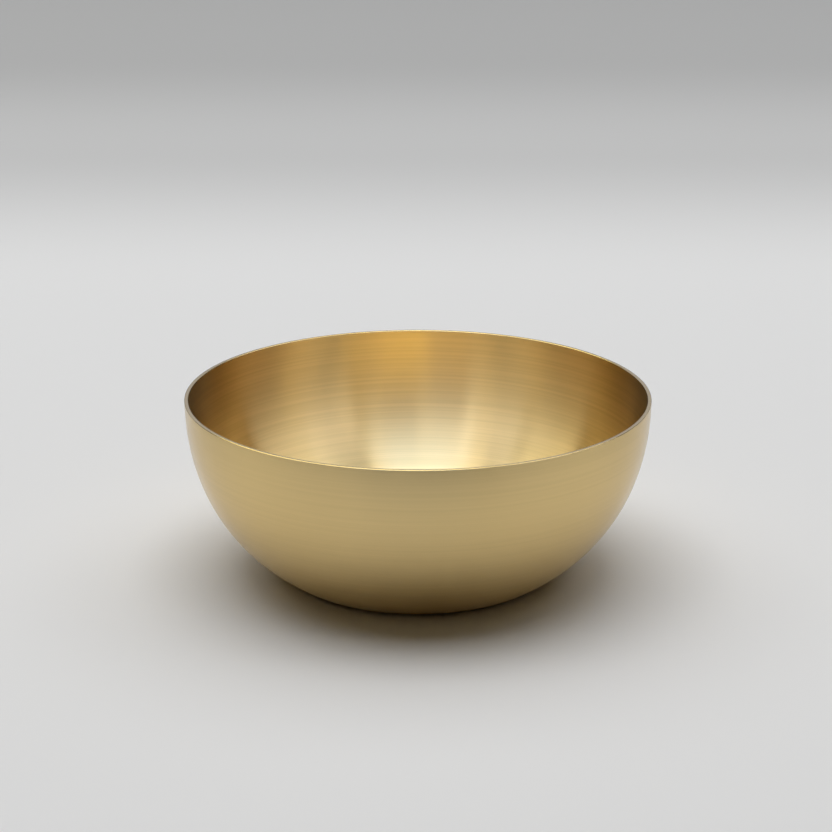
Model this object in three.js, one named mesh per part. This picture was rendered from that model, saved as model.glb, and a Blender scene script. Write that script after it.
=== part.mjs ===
// A spun brass bowl: one thin shell with a ground rim and a dished base, which stands on
// a felt disc that an adhesive film holds in the hollow of the base.
// Millimetres, +Z up. The origin is the middle of the face that the bowl rests on.
import * as THREE from "three";

// Driving dimensions of the shell
const RIM_DIAMETER = 180; // across the outside of the rim
const OVERALL_HEIGHT = 71; // from the table to the top of the rim
const SHEET = 1.5; // brass sheet, equally thick all over
const BASE_DIAMETER = 105; // where the wall's curve runs out at the level of the standing ring
const WALL_FULLNESS = 2.18; // exponent of the wall's curve: 2 is an ellipse, more is fuller
const RIM_LAND = 1; // flat ground width of the rim, between its two rounded edges
const BASE_BEND = 6; // outside radius of the bend from wall to base
const STANDING_RING = 2.5; // flat width of the ring round the hollow
const HOLLOW_DEPTH = 0.8; // how far the middle of the base is dished upwards
const HOLLOW_BEND = 8; // radius of both bends at the edge of the hollow

// Driving dimensions of the pad under the base
const PAD_THICKNESS = 1.2; // felt disc
const FILM_THICKNESS = 0.1; // double-sided adhesive film
const PAD_MARGIN = 0.8; // bare brass left round the pad in the hollow

// Facets
const TURN_STEPS = 96; // around the axis
const WALL_STEPS = 14; // along the wall
const BEND_STEPS = 3; // along each bend at the base
const EDGE_STEPS = 3; // along each rounded edge of the rim

// Levels
const seatZ = PAD_THICKNESS + FILM_THICKNESS; // underside of the hollow
const ringZ = seatZ - HOLLOW_DEPTH; // underside of the standing ring
const rimZ = OVERALL_HEIGHT;

// The wall is a quarter of a superellipse that hangs from the rim plane, where it is upright.
// It would close on the axis at wallDepth, and it is cut short at the base.
const rimRadius = RIM_DIAMETER / 2;
const baseShare = (BASE_DIAMETER / RIM_DIAMETER) ** WALL_FULLNESS;
const wallDepth = (rimZ - ringZ) / (1 - baseShare) ** (1 / WALL_FULLNESS);
const wallPower = 2 / WALL_FULLNESS;
const rimEdge = (SHEET - RIM_LAND) / 2; // rounding of each edge of the rim

// A point of the shell's outer face, with the direction that the face looks in.
function skinPoint(r, z, normalR, normalZ) {
  return {
    point: new THREE.Vector2(r, z),
    normal: new THREE.Vector2(normalR, normalZ).normalize(),
  };
}

// The wall's outer face at an angle from 0, at the rim plane, to a right angle, on the axis.
function wallPoint(angle) {
  const across = Math.cos(angle) ** wallPower;
  const down = Math.sin(angle) ** wallPower;
  return skinPoint(
    rimRadius * across,
    rimZ - wallDepth * down,
    across ** (WALL_FULLNESS - 1) / rimRadius,
    -(down ** (WALL_FULLNESS - 1)) / wallDepth,
  );
}

// The wall's angle at a given drop below the rim plane.
function wallAngleAtDrop(drop) {
  return Math.asin((drop / wallDepth) ** (1 / wallPower));
}

// The point that lies off the outer face by a distance, inwards into the bowl.
function inset({ point, normal }, distance) {
  return point.clone().addScaledVector(normal, -distance);
}

// The angle where the bend's arc leaves the wall: its centre is then one radius above the ring.
function bendAngle() {
  let upper = 0;
  let lower = wallAngleAtDrop(rimZ - ringZ);
  const halvings = 50;
  for (let i = 0; i < halvings; i++) {
    const middle = (upper + lower) / 2;
    const tooHigh = inset(wallPoint(middle), BASE_BEND).y > ringZ + BASE_BEND;
    if (tooHigh) upper = middle;
    else lower = middle;
  }
  return (upper + lower) / 2;
}

// An arc of the outer face. facing is 1 where the face looks away from the arc's centre, or -1.
function arcPoints(centre, radius, fromAngle, toAngle, steps, facing = 1) {
  return Array.from({ length: steps + 1 }, (_, i) => {
    const angle = THREE.MathUtils.lerp(fromAngle, toAngle, i / steps);
    const cos = Math.cos(angle);
    const sin = Math.sin(angle);
    return skinPoint(
      centre.x + radius * cos,
      centre.y + radius * sin,
      facing * cos,
      facing * sin,
    );
  });
}

// Radii across the base, from the wall's bend inwards
const DOWN = -Math.PI / 2;
const UP = Math.PI / 2;
const bendWallAngle = bendAngle();
const bendTop = wallPoint(bendWallAngle);
const bendCentre = inset(bendTop, BASE_BEND);
const bendTurn = Math.atan2(bendTop.normal.y, bendTop.normal.x);
const hollowTurn = Math.acos(1 - HOLLOW_DEPTH / (2 * HOLLOW_BEND));
const hollowRadius = bendCentre.x - STANDING_RING;
const seatRadius = hollowRadius - 2 * HOLLOW_BEND * Math.sin(hollowTurn);
const padRadius = seatRadius - PAD_MARGIN;

// The outer face from the axis across the base and up the wall to the rim.
function outerFace() {
  const seatBend = new THREE.Vector2(seatRadius, seatZ - HOLLOW_BEND);
  const ringBend = new THREE.Vector2(hollowRadius, ringZ + HOLLOW_BEND);
  const rimAngle = wallAngleAtDrop(rimEdge);
  const wall = Array.from({ length: WALL_STEPS }, (_, i) =>
    wallPoint(THREE.MathUtils.lerp(bendWallAngle, rimAngle, (i + 1) / WALL_STEPS)),
  );
  return [
    skinPoint(0, seatZ, 0, -1),
    ...arcPoints(seatBend, HOLLOW_BEND, UP, UP - hollowTurn, BEND_STEPS, -1),
    ...arcPoints(ringBend, HOLLOW_BEND, DOWN - hollowTurn, DOWN, BEND_STEPS).slice(1),
    ...arcPoints(bendCentre, BASE_BEND, DOWN, bendTurn, BEND_STEPS),
    ...wall,
  ];
}

// The ground rim: a flat land between two rounded edges, from outside to inside.
function rimLand() {
  const outer = new THREE.Vector2(rimRadius - rimEdge, rimZ - rimEdge);
  const inner = new THREE.Vector2(rimRadius - SHEET + rimEdge, rimZ - rimEdge);
  return [
    ...arcPoints(outer, rimEdge, 0, UP, EDGE_STEPS).slice(1),
    ...arcPoints(inner, rimEdge, UP, Math.PI, EDGE_STEPS).slice(0, -1),
  ].map(({ point }) => point);
}

// The shell is the outer face and the same face set in by the sheet, joined at the rim.
function shellGeometry() {
  const skin = outerFace();
  const outside = skin.map(({ point }) => point);
  const inside = skin.map((place) => inset(place, SHEET)).reverse();
  const outline = [...outside, ...rimLand(), ...inside];
  return new THREE.LatheGeometry(outline, TURN_STEPS).rotateX(Math.PI / 2);
}

// A die-cut disc that lies flat, with its underside at a level.
function discGeometry(radius, thickness, bottomZ) {
  return new THREE.CylinderGeometry(radius, radius, thickness, TURN_STEPS)
    .rotateX(Math.PI / 2)
    .translate(0, 0, bottomZ + thickness / 2);
}

const brass = new THREE.MeshStandardMaterial({ color: 0xc2a263, roughness: 0.35, metalness: 1 });
const adhesive = new THREE.MeshStandardMaterial({ color: 0xd9d5c6, roughness: 0.4, metalness: 0 });
const felt = new THREE.MeshStandardMaterial({ color: 0x2e2a27, roughness: 0.95, metalness: 0 });

function piece(name, geometry, material) {
  const mesh = new THREE.Mesh(geometry, material);
  mesh.name = name;
  return mesh;
}

const bowl = new THREE.Group();
bowl.add(
  piece("bowl_shell", shellGeometry(), brass),
  piece("pad_adhesive", discGeometry(padRadius, FILM_THICKNESS, PAD_THICKNESS), adhesive),
  piece("base_pad", discGeometry(padRadius, PAD_THICKNESS, 0), felt),
);

export default bowl;
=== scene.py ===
"""A spun brass bowl on a pale studio floor: the finish of its shell, its felt pad and the film between them.

Metres, +Z up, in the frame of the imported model. The origin is the middle of the face that the bowl rests on.
"""

import math
from typing import NamedTuple

import bpy
import numpy as np
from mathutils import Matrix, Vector


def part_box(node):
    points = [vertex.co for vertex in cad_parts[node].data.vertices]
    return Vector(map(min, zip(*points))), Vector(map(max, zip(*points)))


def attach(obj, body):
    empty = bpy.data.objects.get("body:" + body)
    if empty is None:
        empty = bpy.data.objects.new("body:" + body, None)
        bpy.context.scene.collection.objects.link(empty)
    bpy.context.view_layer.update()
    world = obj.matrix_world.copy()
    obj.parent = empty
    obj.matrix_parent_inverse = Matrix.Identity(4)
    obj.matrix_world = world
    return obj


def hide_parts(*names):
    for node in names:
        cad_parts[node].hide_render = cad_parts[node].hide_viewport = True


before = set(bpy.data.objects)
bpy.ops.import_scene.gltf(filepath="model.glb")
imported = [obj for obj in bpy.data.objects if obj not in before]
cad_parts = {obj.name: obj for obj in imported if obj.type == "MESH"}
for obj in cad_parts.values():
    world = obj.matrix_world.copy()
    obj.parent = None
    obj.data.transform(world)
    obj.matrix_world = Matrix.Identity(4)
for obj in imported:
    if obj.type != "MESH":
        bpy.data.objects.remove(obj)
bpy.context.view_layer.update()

UV_MAP = "OFBake"
MM = 0.001
DOWN = -math.pi / 2
UP = math.pi / 2

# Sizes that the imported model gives
shell_low, shell_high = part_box("bowl_shell")
film_low, film_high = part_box("pad_adhesive")
pad_low, pad_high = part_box("base_pad")
RIM_RADIUS = shell_high.x
RIM_Z = shell_high.z
RING_Z = shell_low.z
SEAT_Z = film_high.z
PAD_RADIUS = pad_high.x

# Driving dimensions of the shell, as in the solids
SHEET = 1.5 * MM
BASE_RADIUS = 52.5 * MM
WALL_FULLNESS = 2.18
RIM_LAND = 1.0 * MM
RIM_EDGE = (SHEET - RIM_LAND) / 2
BASE_BEND = 6 * MM
STANDING_RING = 2.5 * MM
HOLLOW_BEND = 8 * MM

# Rounding of the cut edges of the discs
FELT_EDGE = 0.3 * MM
FILM_EDGE = 0.03 * MM

# Fineness of the meshes
TURNS = 320
WALL_STEPS = 64
BEND_STEPS = 8
EDGE_STEPS = 8
FLAT_STEPS = 12
FLOOR_SIDES = 96
HALVINGS = 50
SAME_PLACE = 0.001 * MM

# Most of a noise lies between these values
NOISE_LOW = 0.3
NOISE_MIDDLE = 0.5
NOISE_HIGH = 0.7

# Brush lines of the brass, as cells of noise for a radian of turn, and for a metre of radius and height
# together
HAIR_CELLS = (0.9, 2600.0)
LINE_CELLS = (0.6, 1000.0)
BAND_CELLS = (0.2, 90.0)
BRUSH_DETAIL = 1.0
BRUSH_DEPTH = 0.003 * MM
LINE_SHARE = 0.7
BAND_SHARE = 0.08
OUTSIDE_CONTRAST = 0.45
INSIDE_CONTRAST = 1.35
INSIDE_BLEND = 0.3

# Colour and gloss of the brass. The brushed roughness stays above 0.274 all over: the denoiser takes a
# smoother gloss for a mirror, and a noise that crosses that limit shows as cracks.
BRASS_DARK = (0.780, 0.580, 0.255)
BRASS_LIGHT = (0.876, 0.652, 0.291)
BRASS_EDGE_TINT = (0.88, 0.84, 0.76, 1)
BRUSHED_ROUGHNESS = (0.278, 0.284)
BASE_ROUGHNESS = 0.58
COARSE_RADIUS = 0.90 * BASE_RADIUS
FINE_RADIUS = 1.22 * BASE_RADIUS
RIM_ROUGHNESS = 0.18
GROUND_START = RIM_Z - 0.2 * MM
GROUND_FULL = RIM_Z - 0.05 * MM
QUARTER_TURN = 0.25
LACQUER_IOR = 1.25
LACQUER_ROUGHNESS = 0.25

# Felt and film, with their noises as cells for a metre
FELT_DARK = (0.014, 0.012, 0.011)
FELT_LIGHT = (0.055, 0.047, 0.042)
FELT_LIGHT_PLACE = 0.75
FELT_DEPTH = 0.12 * MM
FIBRE_CELLS = 2600.0
CLUMP_CELLS = 420.0
CLUMP_SHARE = 0.35
FILM_DARK = (0.60, 0.56, 0.45)
FILM_LIGHT = (0.74, 0.71, 0.60)
FILM_ROUGHNESS = (0.25, 0.45)
MOTTLE_CELLS = 300.0

# The paper floor, with light painted into its colour: the painted falloff of the lamps' light in its tones
# from near to far, where that painted falloff starts behind, beside and in front of the bowl, and a painted
# shade in front of it
FLOOR_RADIUS = 12.0
PAINTED_FALLOFF_NEAR = (0.82, 0.82, 0.82)
PAINTED_FALLOFF_MIDWAY = (0.58, 0.58, 0.58)
PAINTED_FALLOFF_FAR = (0.455, 0.455, 0.455)
PAINTED_FALLOFF_MIDWAY_PLACE = 0.45
PAPER_BEHIND = 0.45
PAPER_BESIDE = 0.50
PAPER_FRONT = 0.20
PAPER_FRONT_RATE = 3.5
PAINTED_FRONT_SHADE = 0.42
PAINTED_FRONT_SHADE_END = 0.5

# Lamps: pi times the level is the power for each square metre
LAMP_HEIGHT = 4.5
CEILING_LEVEL = 1.38
SOFTBOX_LEVEL = 2.50

# The photograph's camera, in rim radii, degrees and millimetres
CAMERA_DISTANCE = 8.49
CAMERA_ELEVATION = 18.13
CAMERA_AIM_HEIGHT = 0.681
CAMERA_SIDE = -0.0083
LENS = 85
SENSOR = 36


class Panel(NamedTuple):
    """A panel of light in the room. In degrees: the turn of its middle, 0 towards the camera and more to the
    right, half its width, and its lowest and highest lift. Then its colour, where 1 is white."""

    turn: float
    half_width: float
    low: float
    high: float
    colour: tuple


HALF_TURN = 180.0
PANEL_EDGE = 4
PANELS = {
    "left_wall": Panel(-69, 40, 20, 32, (1.28, 1.32, 1.40)),
    "left_wall_top": Panel(-48, 20, 32, 43, (1.00, 1.05, 1.40)),
    "right_wall": Panel(75, 36, 20, 33, (1.28, 1.32, 1.48)),
    "right_wall_top": Panel(58, 19, 33, 44, (1.15, 1.11, 1.36)),
    "left_corner": Panel(-78, 32, 43, 62, (0.32, 0.42, 0.62)),
    "right_corner": Panel(74, 36, 44, 62, (0.20, 0.36, 0.60)),
    "front_wall": Panel(5, 33, 20, 38, (0.06, 0.05, 0.05)),
    "front_right": Panel(30, 9, 18, 38, (0.30, 0.29, 0.26)),
    "window_sill": Panel(-14, 14, 30, 39, (0.86, 0.89, 1.00)),
    "window": Panel(2, 40, 38, 50, (1.12, 1.15, 1.30)),
    "sky": Panel(-3, 43, 49, 80, (0.58, 1.05, 2.25)),
    "back_left": Panel(-128, 24, 36, 60, (0.74, 0.70, 0.25)),
    "back_wall": Panel(-165, 30, 34, 95, (1.14, 1.10, 0.28)),
    "backdrop": Panel(180, 42, 11, 34, (0.46, 0.50, 0.66)),
}


# Outlines, as points of radius and height

def wall_depth():
    """How far below the rim plane the wall's curve would close on the axis."""
    share = (BASE_RADIUS / RIM_RADIUS) ** WALL_FULLNESS
    return (RIM_Z - RING_Z) / (1 - share) ** (1 / WALL_FULLNESS)


def wall_points(angles):
    """Points of the wall's outer face and the directions it looks in, from 0 at the rim plane."""
    across = np.cos(angles) ** (2 / WALL_FULLNESS)
    down = np.sin(angles) ** (2 / WALL_FULLNESS)
    depth = wall_depth()
    points = np.stack([RIM_RADIUS * across, RIM_Z - depth * down], axis=-1)
    normals = np.stack(
        [across ** (WALL_FULLNESS - 1) / RIM_RADIUS, -(down ** (WALL_FULLNESS - 1)) / depth],
        axis=-1,
    )
    return points, normals / np.linalg.norm(normals, axis=-1, keepdims=True)


def wall_angle(drop):
    """The wall's angle at a drop below the rim plane."""
    return math.asin((drop / wall_depth()) ** (WALL_FULLNESS / 2))


def bend_angle():
    """The wall's angle where the bend into the base begins."""
    upper, lower = 0.0, wall_angle(RIM_Z - RING_Z)
    for _ in range(HALVINGS):
        middle = (upper + lower) / 2
        point, normal = wall_points(np.array(middle))
        too_high = point[1] - BASE_BEND * normal[1] > RING_Z + BASE_BEND
        upper, lower = (middle, lower) if too_high else (upper, middle)
    return (upper + lower) / 2


def arc_points(centre, radius, start, end, steps, facing=1):
    """Points of an arc and the directions that the face looks in: facing is -1 towards the centre."""
    angles = np.linspace(start, end, steps + 1)
    ways = np.stack([np.cos(angles), np.sin(angles)], axis=-1)
    return np.array(centre) + radius * ways, facing * ways


def level_points(radii, height):
    """Points at these radii on one level."""
    return np.stack([radii, np.full_like(radii, height)], axis=-1)


def outer_face():
    """The shell's outer face from the axis, across the base and up the wall, with its directions."""
    start = bend_angle()
    (bend_top,), (bend_way,) = wall_points(np.array([start]))
    bend_centre = bend_top - BASE_BEND * bend_way
    turn = math.acos(1 - (SEAT_Z - RING_Z) / (2 * HOLLOW_BEND))
    hollow_radius = bend_centre[0] - STANDING_RING
    seat_radius = hollow_radius - 2 * HOLLOW_BEND * math.sin(turn)
    flat = np.linspace(0, seat_radius, FLAT_STEPS, endpoint=False)
    runs = [
        (level_points(flat, SEAT_Z), np.tile([0.0, -1.0], (FLAT_STEPS, 1))),
        arc_points((seat_radius, SEAT_Z - HOLLOW_BEND), HOLLOW_BEND, UP, UP - turn, BEND_STEPS, -1),
        arc_points((hollow_radius, RING_Z + HOLLOW_BEND), HOLLOW_BEND, DOWN - turn, DOWN, BEND_STEPS),
        arc_points(bend_centre, BASE_BEND, DOWN, math.atan2(bend_way[1], bend_way[0]), BEND_STEPS),
        wall_points(np.linspace(start, wall_angle(RIM_EDGE), WALL_STEPS + 1)),
    ]
    points = np.vstack([run[0] for run in runs])
    ways = np.vstack([run[1] for run in runs])
    return points, ways


def shell_outline():
    """The whole outline: the outer face, the ground rim, and the outer face set in by the sheet."""
    points, ways = outer_face()
    outer_centre = (RIM_RADIUS - RIM_EDGE, RIM_Z - RIM_EDGE)
    inner_centre = (RIM_RADIUS - SHEET + RIM_EDGE, RIM_Z - RIM_EDGE)
    outer_edge, _ = arc_points(outer_centre, RIM_EDGE, 0, UP, EDGE_STEPS)
    inner_edge, _ = arc_points(inner_centre, RIM_EDGE, UP, math.pi, EDGE_STEPS)
    inside = (points - SHEET * ways)[::-1]
    return without_repeats(np.vstack([points, outer_edge[1:], inner_edge[:-1], inside]))


def disc_outline(radius, low, high, edge):
    """The outline of a disc with rounded edges, from the middle of its underside."""
    flat = np.linspace(0, radius - edge, FLAT_STEPS)
    bottom = level_points(flat, low)
    top = level_points(flat[::-1], high)
    lower, _ = arc_points((radius - edge, low + edge), edge, DOWN, 0, EDGE_STEPS)
    upper, _ = arc_points((radius - edge, high - edge), edge, 0, UP, EDGE_STEPS)
    return without_repeats(np.vstack([bottom, lower, upper, top]))


def step_lengths(outline):
    """The distance from each point of an outline to the next."""
    return np.linalg.norm(np.diff(outline, axis=0), axis=-1)


def without_repeats(outline):
    """The outline without points that lie on the one before."""
    return outline[np.concatenate([[True], step_lengths(outline) > SAME_PLACE])]


# Objects

def add_object(name, data):
    """A new object in the scene, of a mesh, a light or a camera."""
    thing = bpy.data.objects.new(name, data)
    bpy.context.scene.collection.objects.link(thing)
    return thing


def lathe(name, outline):
    """A closed surface of revolution about Z, from an outline that runs from axis to axis.
    Its map has the turn across and the length of the outline upwards."""
    angles = np.arange(TURNS) * (2 * math.pi / TURNS)
    rings = outline[1:-1]
    points = np.stack(
        [
            np.outer(rings[:, 0], np.cos(angles)),
            np.outer(rings[:, 0], np.sin(angles)),
            np.repeat(rings[:, 1:], TURNS, axis=1),
        ],
        axis=-1,
    ).reshape(-1, 3)
    poles = [[0, 0, outline[0, 1]], [0, 0, outline[-1, 1]]]
    first_pole, last_pole = len(points), len(points) + 1
    run = np.concatenate([[0], np.cumsum(step_lengths(outline))])
    run = run / run[-1]
    faces, places = [], []
    last = (len(rings) - 1) * TURNS
    for i in range(TURNS):
        j = (i + 1) % TURNS
        left, right = i / TURNS, (i + 1) / TURNS
        middle = (left + right) / 2
        faces.append((first_pole, j, i))
        places += [(middle, run[0]), (right, run[1]), (left, run[1])]
        for k in range(len(rings) - 1):
            low, high = k * TURNS, (k + 1) * TURNS
            faces.append((low + i, low + j, high + j, high + i))
            places += [(left, run[k + 1]), (right, run[k + 1]), (right, run[k + 2]), (left, run[k + 2])]
        faces.append((last_pole, last + i, last + j))
        places += [(middle, run[-1]), (left, run[-2]), (right, run[-2])]
    mesh = bpy.data.meshes.new(name)
    mesh.from_pydata(np.vstack([points, poles]).tolist(), [], faces)
    mesh.uv_layers.new(name=UV_MAP).uv.foreach_set("vector", np.array(places, np.float32).ravel())
    mesh.shade_smooth()
    return add_object(name, mesh)


def dress(piece, node, material):
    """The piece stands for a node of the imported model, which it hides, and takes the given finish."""
    piece.data.materials.append(material)
    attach(piece, "root")
    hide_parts(node)


# Materials

class Nodes:
    """The node tree of a material or world, with short ways to add nodes and arithmetic to it."""

    def __init__(self, owner):
        owner.use_nodes = True
        self.owner = owner
        self.tree = owner.node_tree
        self.shader = self.tree.nodes.get("Principled BSDF") or self.tree.nodes["Background"]

    def fill(self, sockets, values):
        """Each value goes into its socket: an output is linked, and a plain value is set."""
        for socket, value in zip(sockets, values):
            if isinstance(value, bpy.types.NodeSocket):
                self.tree.links.new(value, socket)
            else:
                socket.default_value = value

    def fill_named(self, node, values):
        """As fill, by the names of the node's inputs, with _ for a space."""
        self.fill([node.inputs[name.replace("_", " ")] for name in values], values.values())

    def surface(self, **values):
        """Values for inputs of the shader."""
        self.fill_named(self.shader, values)

    def add(self, kind, settings=None, **values):
        """A new node with its settings, and values for its inputs."""
        node = self.tree.nodes.new(kind)
        for key, value in (settings or {}).items():
            setattr(node, key, value)
        self.fill_named(node, values)
        return node

    def math(self, operation, *values):
        """A number from numbers."""
        node = self.add("ShaderNodeMath", {"operation": operation})
        self.fill(node.inputs, values)
        return node.outputs[0]

    def vector(self, operation, *values, result="Vector"):
        """A vector from vectors."""
        node = self.add("ShaderNodeVectorMath", {"operation": operation})
        self.fill(node.inputs, values)
        return node.outputs[result]

    def measure(self, operation, *values):
        """A number from vectors."""
        return self.vector(operation, *values, result="Value")

    def blend(self, first, second, share):
        """The first number with a share of the second in its place."""
        kept = self.math("MULTIPLY", first, 1 - share)
        return self.math("ADD", kept, self.math("MULTIPLY", second, share))

    def scaled(self, value, low, high, new_low, new_high, kind="LINEAR"):
        """The value's range from low to high, stretched to a new range."""
        node = self.add("ShaderNodeMapRange", {"interpolation_type": kind})
        self.fill(node.inputs, (value, low, high, new_low, new_high))
        return node.outputs[0]

    def eased(self, *values):
        """As scaled, with soft ends."""
        return self.scaled(*values, kind="SMOOTHSTEP")

    def noise(self, where, scale, detail, roughness=0.5):
        """Cloudy noise."""
        values = {"Vector": where, "Scale": scale, "Detail": detail, "Roughness": roughness}
        return self.add("ShaderNodeTexNoise", **values).outputs["Fac"]

    def ramp(self, value, *stops, kind="LINEAR"):
        """A colour that runs through two or more stops, each with its place and colour."""
        node = self.add("ShaderNodeValToRGB", Fac=value)
        node.color_ramp.interpolation = kind
        elements = node.color_ramp.elements
        for element, (place, colour) in zip(elements, (stops[0], stops[-1])):
            element.position = place
            element.color = (*colour, 1)
        for place, colour in stops[1:-1]:
            elements.new(place).color = (*colour, 1)
        return node.outputs["Color"]


def brass():
    """Satin brass under clear lacquer, brushed on the lathe: fine lines run round the axis, so it mirrors
    sharply round the bowl and softly up and down the wall. The base is brushed coarser, inside and below,
    and the ground rim is smoother."""
    n = Nodes(bpy.data.materials.new("brushed_brass"))
    place = n.add("ShaderNodeTexCoord").outputs
    x, y, z = n.add("ShaderNodeSeparateXYZ", Vector=place["Object"]).outputs
    level = n.add("ShaderNodeCombineXYZ", X=x, Y=y).outputs[0]
    radius = n.measure("LENGTH", level)
    along = n.math("ADD", radius, z)
    outward = n.vector("NORMALIZE", level)
    way_x, way_y, _ = n.add("ShaderNodeSeparateXYZ", Vector=outward).outputs
    facing = n.measure("DOT_PRODUCT", place["Normal"], outward)
    inside = n.eased(facing, -INSIDE_BLEND, INSIDE_BLEND, 1.0, 0.0)

    def streaks(per_radian, per_metre):
        """Noise drawn out round the axis."""
        where = n.add(
            "ShaderNodeCombineXYZ",
            X=n.math("MULTIPLY", way_x, per_radian),
            Y=n.math("MULTIPLY", way_y, per_radian),
            Z=n.math("MULTIPLY", along, per_metre),
        ).outputs[0]
        return n.noise(where, 1.0, BRUSH_DETAIL)

    lines = streaks(*LINE_CELLS)
    brushing = n.blend(streaks(*HAIR_CELLS), lines, LINE_SHARE)
    tone = n.blend(brushing, streaks(*BAND_CELLS), BAND_SHARE)
    contrast = n.scaled(inside, 0.0, 1.0, OUTSIDE_CONTRAST, INSIDE_CONTRAST)
    off_middle = n.math("SUBTRACT", tone, NOISE_MIDDLE)
    shade = n.math("MULTIPLY_ADD", off_middle, contrast, NOISE_MIDDLE)
    brushed = n.scaled(brushing, NOISE_LOW, NOISE_HIGH, *BRUSHED_ROUGHNESS)
    coarse = n.eased(radius, COARSE_RADIUS, FINE_RADIUS, BASE_ROUGHNESS, 0.0)
    worked = n.math("MAXIMUM", brushed, coarse)
    ground = n.eased(z, GROUND_START, GROUND_FULL, 0.0, 1.0)
    bump = n.add("ShaderNodeBump", Strength=1.0, Distance=BRUSH_DEPTH, Height=lines)
    tangent = n.add("ShaderNodeTangent", {"direction_type": "RADIAL", "axis": "Z"})
    n.surface(
        Base_Color=n.ramp(shade, (NOISE_LOW, BRASS_DARK), (NOISE_HIGH, BRASS_LIGHT)),
        Metallic=1.0,
        Roughness=n.scaled(ground, 0.0, 1.0, worked, RIM_ROUGHNESS),
        Normal=bump.outputs["Normal"],
        Specular_Tint=BRASS_EDGE_TINT,
        Anisotropic=1.0,
        Anisotropic_Rotation=QUARTER_TURN,
        Tangent=tangent.outputs["Tangent"],
        Coat_Weight=1.0,
        Coat_IOR=LACQUER_IOR,
        Coat_Roughness=LACQUER_ROUGHNESS,
    )
    return n.owner


def felt():
    """Dark pressed wool felt: matted fibres with a soft sheen."""
    n = Nodes(bpy.data.materials.new("pressed_felt"))
    place = n.add("ShaderNodeTexCoord").outputs["Object"]
    fibres = n.noise(place, FIBRE_CELLS, detail=4.0, roughness=0.7)
    clumps = n.noise(place, CLUMP_CELLS, detail=3.0, roughness=0.6)
    matting = n.blend(fibres, clumps, CLUMP_SHARE)
    bump = n.add("ShaderNodeBump", Strength=0.7, Distance=FELT_DEPTH, Height=matting)
    n.surface(
        Base_Color=n.ramp(matting, (NOISE_LOW, FELT_DARK), (FELT_LIGHT_PLACE, FELT_LIGHT)),
        Roughness=0.95,
        Normal=bump.outputs["Normal"],
        Sheen_Weight=0.35,
        Sheen_Roughness=0.5,
    )
    return n.owner


def adhesive_film():
    """Clear acrylic adhesive with a faint mottle."""
    n = Nodes(bpy.data.materials.new("adhesive_film"))
    place = n.add("ShaderNodeTexCoord").outputs["Object"]
    mottle = n.noise(place, MOTTLE_CELLS, detail=3.0)
    n.surface(
        Base_Color=n.ramp(mottle, (0.0, FILM_DARK), (1.0, FILM_LIGHT)),
        Roughness=n.scaled(mottle, NOISE_LOW, NOISE_HIGH, *FILM_ROUGHNESS),
    )
    return n.owner


def floor_paper():
    """Pale studio paper with painted light: its colour greys away from the object on all sides as a painted
    falloff of the lamps' light, and soonest in front of it as a painted shade.
    """
    n = Nodes(bpy.data.materials.new("studio_paper"))
    place = n.add("ShaderNodeTexCoord").outputs["Object"]
    x, y, _ = n.add("ShaderNodeSeparateXYZ", Vector=place).outputs
    behind = n.math("SUBTRACT", y, PAPER_BEHIND)
    beside = n.math("SUBTRACT", n.math("ABSOLUTE", x), PAPER_BESIDE)
    past_front = n.math("SUBTRACT", n.math("MULTIPLY", y, -1.0), PAPER_FRONT)
    in_front = n.math("MULTIPLY", past_front, PAPER_FRONT_RATE)
    away = n.math("MAXIMUM", n.math("MAXIMUM", behind, in_front), beside)
    midway = (PAINTED_FALLOFF_MIDWAY_PLACE, PAINTED_FALLOFF_MIDWAY)
    # painted falloff of light: the floor's colour greys with distance from the object
    tone = n.ramp(away, (0.0, PAINTED_FALLOFF_NEAR), midway, (1.0, PAINTED_FALLOFF_FAR), kind="EASE")
    # painted shade: the floor's colour is darker in front of the bowl
    painted_shade_in_front = n.eased(y, -PAINTED_FRONT_SHADE_END, -PAPER_FRONT, PAINTED_FRONT_SHADE, 1.0)
    n.surface(
        Base_Color=n.vector("MULTIPLY", tone, painted_shade_in_front),
        Roughness=0.9,
        Specular_IOR_Level=0.2,
    )
    return n.owner


# Studio

def studio_floor():
    """A flat round floor, wide enough to reach past every view."""
    angles = np.arange(FLOOR_SIDES) * (2 * math.pi / FLOOR_SIDES)
    points = [(FLOOR_RADIUS * math.cos(a), FLOOR_RADIUS * math.sin(a), 0) for a in angles]
    mesh = bpy.data.meshes.new("studio_floor")
    mesh.from_pydata(points, [], [tuple(range(FLOOR_SIDES))])
    mesh.materials.append(floor_paper())
    floor = add_object("studio_floor", mesh)


def overhead(name, side, back, width, length, level):
    """An even light that hangs level, which the camera doesn't see. Its place and size are in lamp
    heights."""
    light = bpy.data.lights.new(name, "AREA")
    light.shape = "RECTANGLE"
    light.size = width * LAMP_HEIGHT
    light.size_y = length * LAMP_HEIGHT
    light.energy = level * math.pi * light.size * light.size_y
    lamp = add_object(name, light)
    lamp.location = LAMP_HEIGHT * Vector((side, back, 1))
    lamp.visible_camera = False


def studio_lamps():
    """A white ceiling that glows all over, and a softbox at the same height, a little to the left."""
    overhead("ceiling", side=0, back=0.50, width=2.3, length=1.2, level=CEILING_LEVEL)
    overhead("softbox", side=-0.08, back=-0.03, width=0.86, length=0.64, level=SOFTBOX_LEVEL)


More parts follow.
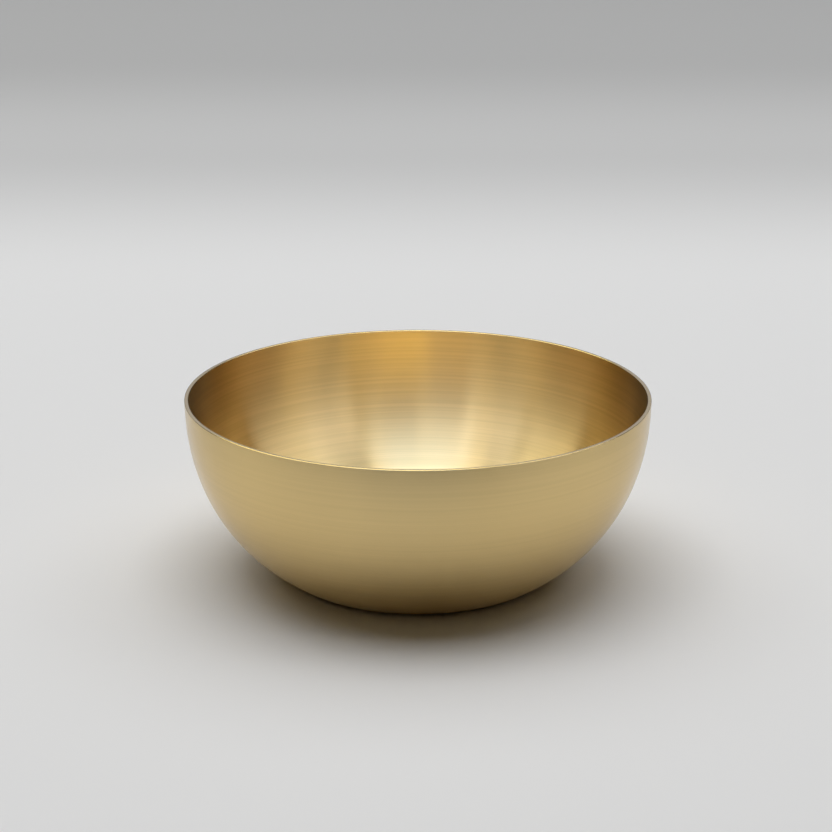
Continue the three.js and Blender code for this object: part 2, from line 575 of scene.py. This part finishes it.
def panel_light(n, turn, lift, panel):
    """The light of one panel of the room in the directions that it covers, with soft edges."""
    off_middle = n.math("WRAP", n.math("SUBTRACT", turn, panel.turn), HALF_TURN, -HALF_TURN)
    aside = n.math("ABSOLUTE", off_middle)
    across = n.eased(aside, panel.half_width - PANEL_EDGE, panel.half_width + PANEL_EDGE, 1.0, 0.0)
    above = n.eased(lift, panel.low - PANEL_EDGE, panel.low + PANEL_EDGE, 0.0, 1.0)
    below = n.eased(lift, panel.high - PANEL_EDGE, panel.high + PANEL_EDGE, 1.0, 0.0)
    share = n.math("MULTIPLY", across, n.math("MULTIPLY", above, below))
    return n.vector("MULTIPLY", share, panel.colour)


def studio_room():
    """The room round the table, which only shows in reflections: the floor is lit by the lamps."""
    n = Nodes(bpy.data.worlds.new("room"))
    way = n.add("ShaderNodeTexCoord").outputs["Generated"]
    x, y, z = n.add("ShaderNodeSeparateXYZ", Vector=way).outputs
    turn = n.math("DEGREES", n.math("ARCTAN2", x, n.math("MULTIPLY", y, -1.0)))
    lift = n.math("DEGREES", n.math("ARCSINE", z))
    light = (0.0, 0.0, 0.0)
    for panel in PANELS.values():
        light = n.vector("ADD", light, panel_light(n, turn, lift, panel))
    n.surface(Color=light)
    bpy.context.scene.world = n.owner
    n.owner.cycles_visibility.diffuse = False


def photo_camera():
    """The photograph's camera: level, in front of the bowl and looking down on it."""
    elevation = math.radians(CAMERA_ELEVATION)
    aim = RIM_RADIUS * Vector((CAMERA_SIDE, 0, CAMERA_AIM_HEIGHT))
    back = Vector((0, -math.cos(elevation), math.sin(elevation)))
    data = bpy.data.cameras.new("camera")
    data.lens = LENS
    data.sensor_width = SENSOR
    camera = add_object("camera", data)
    camera.location = aim + RIM_RADIUS * CAMERA_DISTANCE * back
    camera.rotation_euler = (-back).to_track_quat("-Z", "Y").to_euler()
    bpy.context.scene.camera = camera


def main():
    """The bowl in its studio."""
    bpy.context.scene.view_settings.view_transform = "Standard"
    photo_camera()
    dress(lathe("spun_shell", shell_outline()), "bowl_shell", brass())
    film = disc_outline(PAD_RADIUS, film_low.z, film_high.z, FILM_EDGE)
    dress(lathe("adhesive_disc", film), "pad_adhesive", adhesive_film())
    pad = disc_outline(PAD_RADIUS, pad_low.z, pad_high.z, FELT_EDGE)
    felt_disc = lathe("felt_disc", pad)
    dress(felt_disc, "base_pad", felt())
    studio_floor()
    studio_lamps()
    studio_room()


main()
